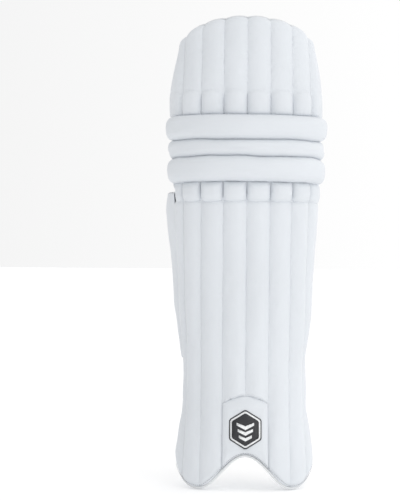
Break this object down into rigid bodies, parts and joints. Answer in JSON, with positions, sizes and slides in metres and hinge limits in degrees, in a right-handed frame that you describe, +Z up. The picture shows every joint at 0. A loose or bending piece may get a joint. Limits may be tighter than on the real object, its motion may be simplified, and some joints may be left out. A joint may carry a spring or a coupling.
{
  "type": "cricket leg pad",
  "caption": "White channelled leg guard with knee rolls, a flexing top, a side wing and hook-and-loop straps.",
  "frame": {"origin": "on the flat rear face of the centre panel, where the shin rests, 300 mm above the lowest point of the foot", "axes": "+Z up along the shin, -Y out of the front, +X to the right of a viewer who faces the front"},
  "size_m": [0.2508, 0.1405, 0.7117],
  "materials": {
    "facing_white": "soft-grained white synthetic leather, satin",
    "bolster_white": "white brushed knit over soft filling",
    "lining_navy": "printed navy twill with yellow and green stripes",
    "lining_grey": "thin grey mesh",
    "foam": "closed-cell foam",
    "cane": "split cane",
    "strap_webbing": "woven white webbing with navy, yellow and green stripes",
    "hook_and_loop": "hook and loop tape",
    "piping_white": "white bound edge",
    "badge": "moulded badge, satin"
  },
  "bodies": {
    "shin": {"shin_facing": "facing_white", "knuckle_row": "facing_white", "shin_cane_1": "cane", "shin_cane_2": "cane", "shin_cane_3": "cane", "shin_cane_4": "cane", "shin_cane_5": "cane", "shin_cane_6": "cane", "shin_cane_7": "cane", "shin_cane_8": "cane", "shin_foam": "foam", "shin_lining": "facing_white", "centre_panel": "lining_navy", "shin_bolster_left": "bolster_white", "shin_bolster_right": "bolster_white", "instep_panel": "facing_white", "instep_badge": "badge", "foot_piping": "piping_white", "ankle_strap_tab": "strap_webbing", "ankle_loop_patch": "hook_and_loop", "calf_loop_patch": "hook_and_loop"},
    "knee": {"knee_roll_upper": "facing_white", "knee_roll_middle": "facing_white", "knee_roll_lower": "facing_white", "knee_foam": "foam", "knee_bolster": "bolster_white", "knee_strap_tab": "strap_webbing", "knee_loop_patch": "hook_and_loop"},
    "top": {"top_facing": "facing_white", "top_foam": "foam", "top_lining": "lining_navy", "top_badge": "badge", "top_piping": "piping_white"},
    "wing": {"wing_facing": "facing_white", "wing_foam": "foam", "wing_lining": "lining_grey", "wing_piping": "piping_white", "calf_strap_tab": "strap_webbing"},
    "knee_strap_root": {"knee_strap_near": "strap_webbing"},
    "knee_strap_end": {"knee_strap_far": "strap_webbing", "knee_hook_patch": "hook_and_loop"},
    "calf_strap_root": {"calf_strap_near": "strap_webbing"},
    "calf_strap_end": {"calf_strap_far": "strap_webbing", "calf_hook_patch": "hook_and_loop"},
    "ankle_strap_root": {"ankle_strap_near": "strap_webbing"},
    "ankle_strap_end": {"ankle_strap_far": "strap_webbing", "ankle_hook_patch": "hook_and_loop"}
  },
  "joints": [
    {"name": "knee_flex", "type": "hinge", "parent": "shin", "child": "knee", "pos_m": [0, -0.04, 0.1535], "axis": [1, 0, 0], "range_deg": [-8, 6], "stiffness_Nm_per_rad": 6},
    {"name": "top_flex", "type": "hinge", "parent": "knee", "child": "top", "pos_m": [0, -0.04, 0.2528], "axis": [1, 0, 0], "range_deg": [-8, 20], "stiffness_Nm_per_rad": 3},
    {"name": "wing_fold", "type": "hinge", "parent": "shin", "child": "wing", "pos_m": [-0.09192, 0.0276, -0.112], "axis": [-0.0704, 0, 0.9975], "range_deg": [0, 45], "stiffness_Nm_per_rad": 0.5},
    {"name": "knee_strap_open", "type": "hinge", "parent": "knee", "child": "knee_strap_root", "pos_m": [-0.09507, 0.05148, 0.182], "axis": [0, 0, 1], "range_deg": [0, 100]},
    {"name": "knee_strap_curl", "type": "hinge", "parent": "knee_strap_root", "child": "knee_strap_end", "pos_m": [0.00893, 0.05534, 0.182], "axis": [0, 0, 1], "range_deg": [0, 50]},
    {"name": "calf_strap_open", "type": "hinge", "parent": "wing", "child": "calf_strap_root", "pos_m": [-0.09004, 0.03936, 0.045], "axis": [0, 0, 1], "range_deg": [0, 100]},
    {"name": "calf_strap_curl", "type": "hinge", "parent": "calf_strap_root", "child": "calf_strap_end", "pos_m": [0.00756, 0.04927, 0.045], "axis": [0, 0, 1], "range_deg": [0, 50]},
    {"name": "ankle_strap_open", "type": "hinge", "parent": "shin", "child": "ankle_strap_root", "pos_m": [-0.075, 0.04048, -0.157], "axis": [0, 0, 1], "range_deg": [0, 100]},
    {"name": "ankle_strap_curl", "type": "hinge", "parent": "ankle_strap_root", "child": "ankle_strap_end", "pos_m": [0.00892, 0.04434, -0.157], "axis": [0, 0, 1], "range_deg": [0, 50]}
  ],
  "couplings": [
    {"joint": "knee_strap_curl", "follows": "knee_strap_open", "ratio": 0.5},
    {"joint": "calf_strap_curl", "follows": "calf_strap_open", "ratio": 0.5},
    {"joint": "ankle_strap_curl", "follows": "ankle_strap_open", "ratio": 0.5}
  ]
}
